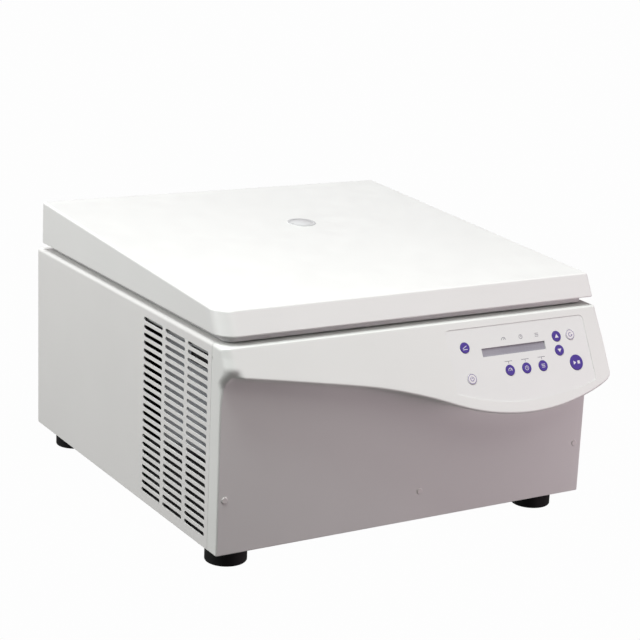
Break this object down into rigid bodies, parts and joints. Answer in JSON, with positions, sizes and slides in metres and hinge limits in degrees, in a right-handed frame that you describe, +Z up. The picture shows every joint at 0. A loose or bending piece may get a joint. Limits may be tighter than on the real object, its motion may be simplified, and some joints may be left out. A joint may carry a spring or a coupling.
{
  "type": "microplate centrifuge",
  "caption": "Benchtop microplate centrifuge: box casing with side vents, sloping control brow, hinged tapered lid with a sight window, and a swing-out plate rotor.",
  "frame": {"origin": "centre of the footprint on the bench surface, under the feet", "axes": "+Z up, +Y to the rear where the lid hinge is, +X to the right of a person facing the control panel"},
  "size_m": [0.5364, 0.609, 0.351],
  "materials": {
    "sheet_white": "satin light grey-white powder coat on steel sheet",
    "cover_white": "moulded plastic, fine satin texture",
    "panel_film": "satin polyester film",
    "lid_white": "moulded plastic, fine satin texture",
    "plated_steel": "zinc plated sheet",
    "armor_steel": "plain rolled steel plate",
    "stainless": "brushed stainless steel",
    "screw_steel": "plated steel screws",
    "screw_white": "painted to match the cover",
    "foot_rubber": "black rubber",
    "seal_rubber": "dark grey rubber",
    "motor_alloy": "cast aluminium",
    "motor_core": "laminated core with windings",
    "bearing_steel": "ground steel",
    "display_body": "grey display glass in its frame",
    "display_glass": "clear display window",
    "circuit_board": "green circuit board",
    "transformer_wrap": "taped winding",
    "heat_sink_alloy": "plain extruded aluminium",
    "black_plastic": "black moulded plastic",
    "guard_wire": "bright plated wire",
    "latch_motor_can": "small motor can",
    "hinge_steel": "grey coated steel",
    "lid_liner": "light grey liner",
    "window_clear": "clear plastic lens",
    "window_ring": "light grey ring",
    "rotor_alloy": "anodised aluminium",
    "rotor_nut_alloy": "turned aluminium",
    "carrier_alloy": "anodised aluminium sheet",
    "key_violet": "violet key cap",
    "key_pale": "pale key cap with a printed ring"
  },
  "bodies": {
    "chassis": {"base_plate": "plated_steel", "left_side_panel": "sheet_white", "right_side_panel": "sheet_white", "top_deck": "sheet_white", "front_cover": "cover_white", "rear_panel": "sheet_white", "inner_frame": "plated_steel", "rubber_feet": "foot_rubber", "chassis_screws": "screw_steel", "front_cover_screws": "screw_white", "chamber_bowl": "stainless", "armor_ring": "armor_steel", "chamber_gasket": "seal_rubber", "motor_housing": "motor_alloy", "motor_stator": "motor_core", "motor_bearings": "bearing_steel", "motor_mount_plate": "plated_steel", "vibration_mounts": "seal_rubber", "shaft_boot": "seal_rubber", "display_module": "display_body", "display_lens": "display_glass", "control_board": "circuit_board", "panel_overlay": "panel_film", "power_board": "circuit_board", "transformer": "transformer_wrap", "heat_sink": "heat_sink_alloy", "fan_frame": "black_plastic", "fan_guard": "guard_wire", "mains_inlet": "black_plastic", "power_switch": "black_plastic", "latch_body": "plated_steel", "latch_motor": "latch_motor_can", "hinge_blocks": "hinge_steel", "hinge_shaft": "stainless"},
    "lid": {"lid_shell": "lid_white", "lid_inner_panel": "lid_liner", "lid_armor_plate": "armor_steel", "lid_window": "window_clear", "lid_window_ring": "window_ring", "lid_striker": "stainless", "lid_hinge_arms": "hinge_steel"},
    "rotor": {"drive_shaft": "stainless", "motor_rotor": "motor_core", "rotor_yoke": "rotor_alloy", "trunnion_pins": "stainless", "rotor_nut": "rotor_nut_alloy"},
    "carrier_left": {"plate_carrier_left": "carrier_alloy"},
    "carrier_right": {"plate_carrier_right": "carrier_alloy"},
    "key_open_lid": {"key_open_lid": "key_violet"},
    "key_standby": {"key_standby": "key_pale"},
    "key_up": {"key_up": "key_violet"},
    "key_down": {"key_down": "key_violet"},
    "key_short_spin": {"key_short_spin": "key_pale"},
    "key_start_stop": {"key_start_stop": "key_violet"},
    "key_speed": {"key_speed": "key_violet"},
    "key_time": {"key_time": "key_violet"},
    "key_program": {"key_program": "key_violet"},
    "latch": {"latch_pawl": "bearing_steel"},
    "fan": {"fan_rotor": "black_plastic"},
    "rocker": {"power_rocker": "black_plastic"}
  },
  "joints": [
    {"name": "lid_hinge", "type": "hinge", "parent": "chassis", "child": "lid", "pos_m": [0, 0.298, 0.3], "axis": [-1, 0, 0], "range_deg": [0, 80]},
    {"name": "rotor_spin", "type": "hinge", "parent": "chassis", "child": "rotor", "pos_m": [0.03075, 0.094, 0.2], "axis": [0, 0, 1], "continuous": true},
    {"name": "carrier_left_swing", "type": "hinge", "parent": "rotor", "child": "carrier_left", "pos_m": [-0.06125, 0.094, 0.206], "axis": [0, 1, 0], "range_deg": [0, 90]},
    {"name": "carrier_right_swing", "type": "hinge", "parent": "rotor", "child": "carrier_right", "pos_m": [0.12275, 0.094, 0.206], "axis": [0, -1, 0], "range_deg": [0, 90]},
    {"name": "key_open_lid_press", "type": "slide", "parent": "chassis", "child": "key_open_lid", "axis": [0, 0.8898, -0.4564], "range_m": [0, 0.0008], "stiffness_N_per_m": 1500, "springref_m": -0.0004},
    {"name": "key_standby_press", "type": "slide", "parent": "chassis", "child": "key_standby", "axis": [0, 0.8898, -0.4564], "range_m": [0, 0.0008], "stiffness_N_per_m": 1500, "springref_m": -0.0004},
    {"name": "key_up_press", "type": "slide", "parent": "chassis", "child": "key_up", "axis": [0, 0.8898, -0.4564], "range_m": [0, 0.0008], "stiffness_N_per_m": 1500, "springref_m": -0.0004},
    {"name": "key_down_press", "type": "slide", "parent": "chassis", "child": "key_down", "axis": [0, 0.8898, -0.4564], "range_m": [0, 0.0008], "stiffness_N_per_m": 1500, "springref_m": -0.0004},
    {"name": "key_short_spin_press", "type": "slide", "parent": "chassis", "child": "key_short_spin", "axis": [0, 0.8898, -0.4564], "range_m": [0, 0.0008], "stiffness_N_per_m": 1500, "springref_m": -0.0004},
    {"name": "key_start_stop_press", "type": "slide", "parent": "chassis", "child": "key_start_stop", "axis": [0, 0.8898, -0.4564], "range_m": [0, 0.0008], "stiffness_N_per_m": 1500, "springref_m": -0.0004},
    {"name": "key_speed_press", "type": "slide", "parent": "chassis", "child": "key_speed", "axis": [0, 0.8898, -0.4564], "range_m": [0, 0.0008], "stiffness_N_per_m": 1500, "springref_m": -0.0004},
    {"name": "key_time_press", "type": "slide", "parent": "chassis", "child": "key_time", "axis": [0, 0.8898, -0.4564], "range_m": [0, 0.0008], "stiffness_N_per_m": 1500, "springref_m": -0.0004},
    {"name": "key_program_press", "type": "slide", "parent": "chassis", "child": "key_program", "axis": [0, 0.8898, -0.4564], "range_m": [0, 0.0008], "stiffness_N_per_m": 1500, "springref_m": -0.0004},
    {"name": "latch_slide", "type": "slide", "parent": "chassis", "child": "latch", "axis": [0, -1, 0], "range_m": [0, 0.008]},
    {"name": "fan_spin", "type": "hinge", "parent": "chassis", "child": "fan", "pos_m": [-0.2, 0.2885, 0.16], "axis": [0, 1, 0], "continuous": true},
    {"name": "rocker_tilt", "type": "hinge", "parent": "chassis", "child": "rocker", "pos_m": [0.224, 0.2983, 0.074], "axis": [1, 0, 0], "range_deg": [0, 14]}
  ]
}
